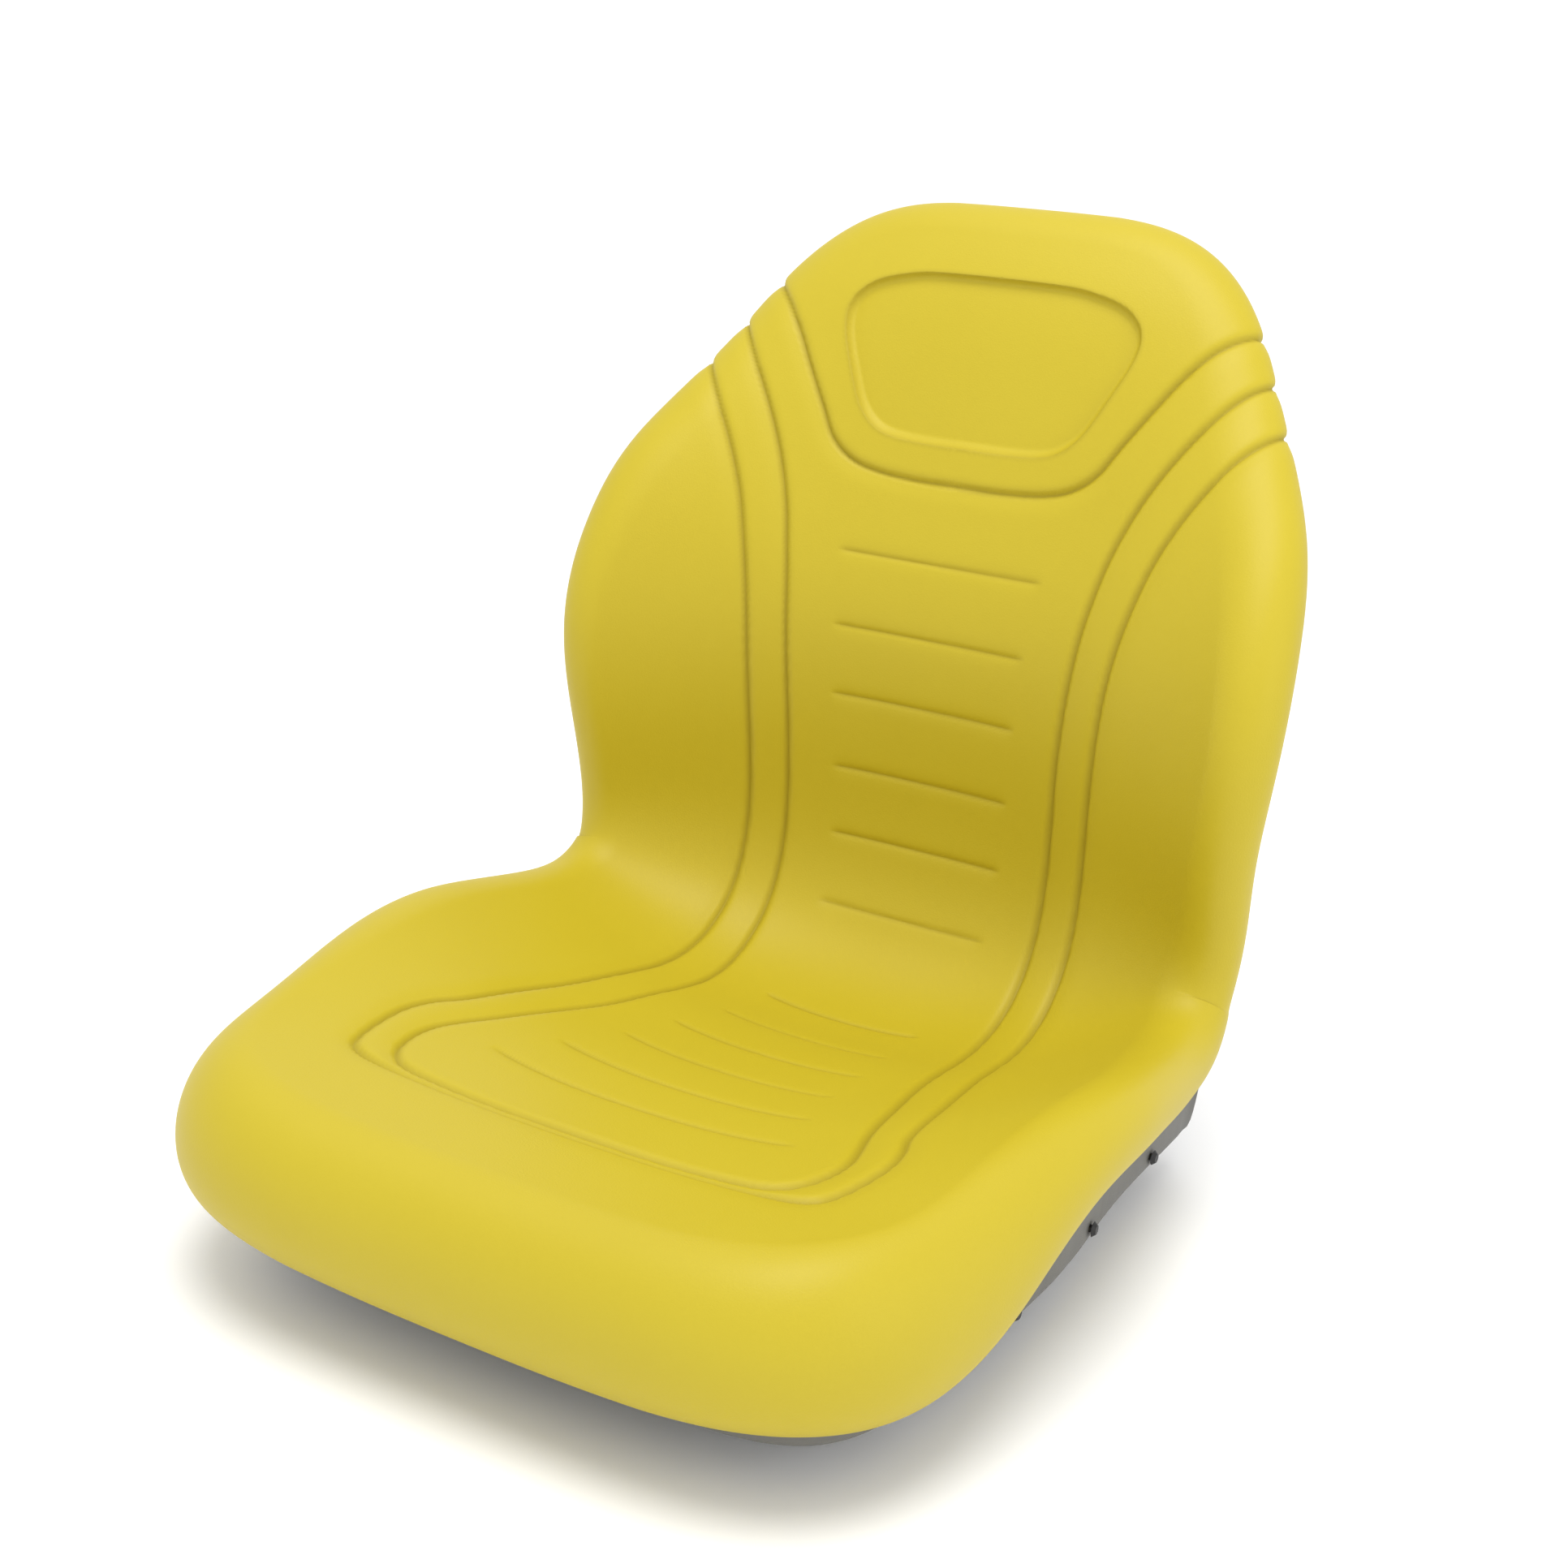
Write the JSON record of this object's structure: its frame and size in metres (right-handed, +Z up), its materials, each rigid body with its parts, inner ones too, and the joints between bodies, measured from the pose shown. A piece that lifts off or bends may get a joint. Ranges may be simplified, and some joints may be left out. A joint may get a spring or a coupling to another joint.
{
  "type": "bucket seat",
  "caption": "High-back one-piece bucket seat for farm and yard machines: moulded cushion on a pan, slide rails, adjusting lever and occupancy switch.",
  "frame": {"origin": "centre of the four-hole mounting pattern, on the flat underside of the lower rails", "axes": "+Z up, the sitter faces -Y, +Y to the rear, +X across the seat"},
  "size_m": [0.4924, 0.6039, 0.5658],
  "materials": {
    "cover": "matte moulded vinyl with a fine grain",
    "foam": "open-cell foam",
    "pan": "fine moulded texture",
    "black_plastic": "matte",
    "pale_plastic": "satin",
    "black_rubber": "matte",
    "zinc_steel": "zinc plated",
    "spring_steel": "drawn wire",
    "black_steel": "satin black powder coat",
    "terminal_brass": "tinned"
  },
  "bodies": {
    "base": {"lower_rail_left": "zinc_steel", "lower_rail_right": "zinc_steel", "latch_rack": "zinc_steel", "rack_rivets": "zinc_steel", "rail_stops": "zinc_steel"},
    "seat": {"seat_skin": "cover", "foam_core": "foam", "seat_pan": "pan", "threaded_inserts": "zinc_steel", "shell_clips": "black_plastic", "drain_grommets": "black_rubber", "switch_housing": "black_plastic", "switch_retainer": "black_plastic", "switch_spring": "spring_steel", "switch_terminals": "terminal_brass", "upper_rail_left": "black_steel", "upper_rail_right": "black_steel", "rail_bolts": "zinc_steel", "rail_washers": "zinc_steel", "glide_shoes": "pale_plastic", "lever_pivot": "zinc_steel", "lever_spring": "spring_steel"},
    "plunger": {"switch_plunger": "pale_plastic"},
    "lever": {"adjust_lever": "black_steel", "lever_grip": "black_rubber"}
  },
  "joints": [
    {"name": "seat_slide", "type": "slide", "parent": "base", "child": "seat", "axis": [0, 1, 0], "range_m": [-0.06, 0.06]},
    {"name": "plunger_press", "type": "slide", "parent": "seat", "child": "plunger", "axis": [0, 0, 1], "range_m": [-0.004, 0], "stiffness_N_per_m": 400, "deforming": ["switch_spring"]},
    {"name": "lever_swing", "type": "hinge", "parent": "seat", "child": "lever", "pos_m": [-0.18, 0.035, 0.006], "axis": [0, 0, 1], "range_deg": [0, 5]}
  ]
}
